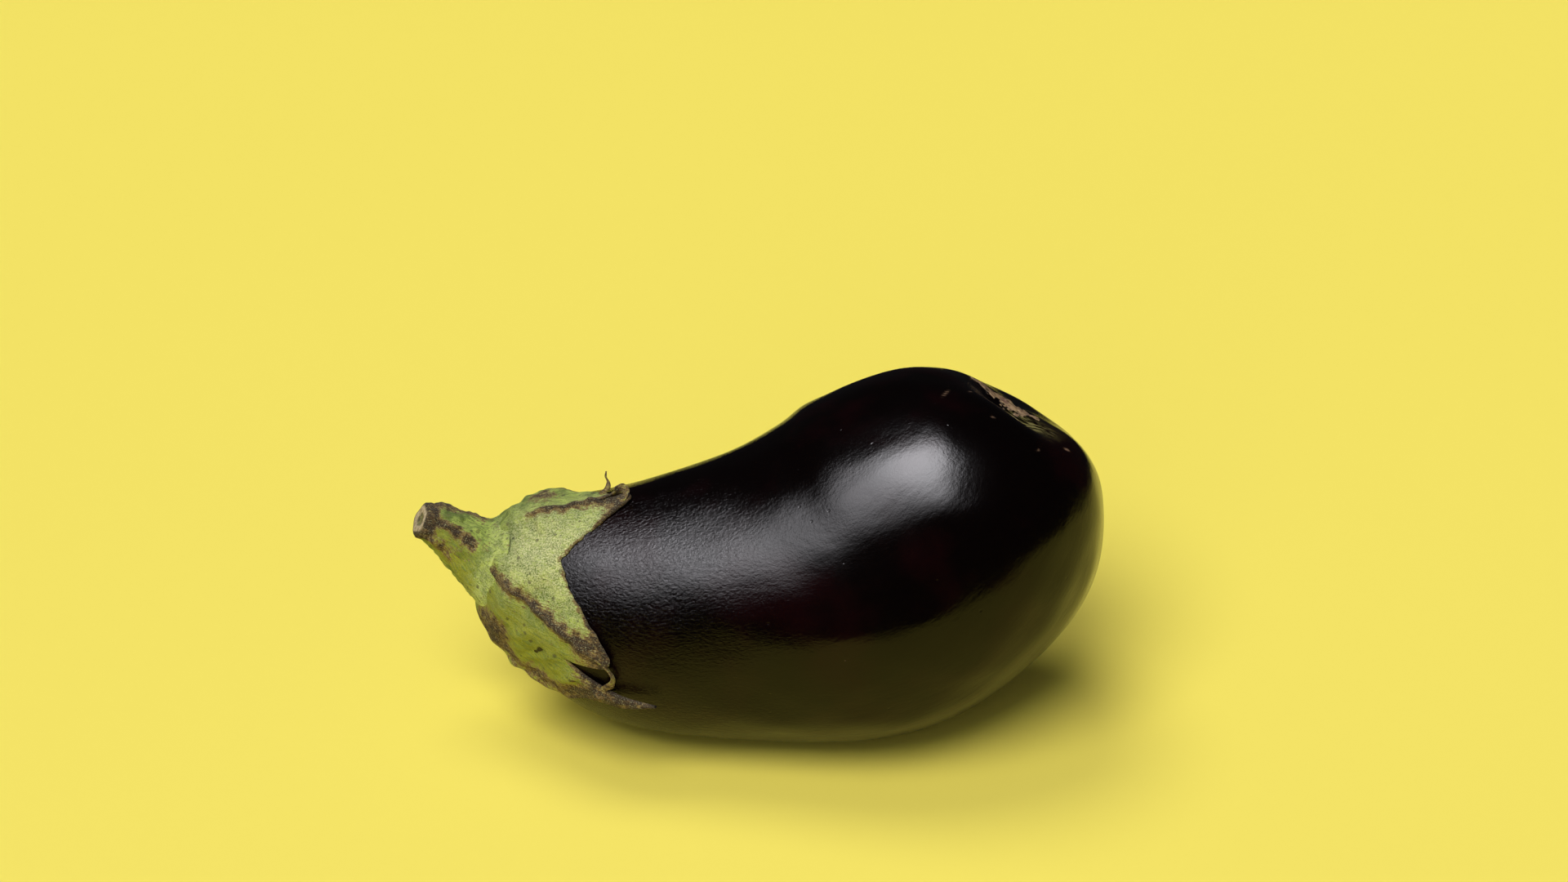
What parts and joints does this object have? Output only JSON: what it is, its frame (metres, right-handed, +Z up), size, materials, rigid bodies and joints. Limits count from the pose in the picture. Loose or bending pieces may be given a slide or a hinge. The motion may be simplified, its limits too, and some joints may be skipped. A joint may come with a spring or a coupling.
{
  "type": "eggplant",
  "caption": "Whole glossy near-black eggplant lying on its belly, bent neck, green pointed calyx and a short cut stem stub.",
  "frame": {"origin": "middle of the small flat spot on the belly that the eggplant rests on", "axes": "+Z up from the surface it lies on, +X from the stem end towards the blossom end, +Y to the back"},
  "size_m": [0.2071, 0.1046, 0.1095],
  "materials": {
    "skin": "smooth waxy natural skin, near-black with a purple-red tint, tan corky scar at the blossom end",
    "calyx": "dry matte leathery leaf, pale green with brown mottling and dried brown edges",
    "stem": "matte ribbed green stalk with brown woody patches and a pale cut end"
  },
  "bodies": {
    "root": {"fruit": "skin", "calyx": "calyx", "stem": "stem"}
  },
  "joints": []
}
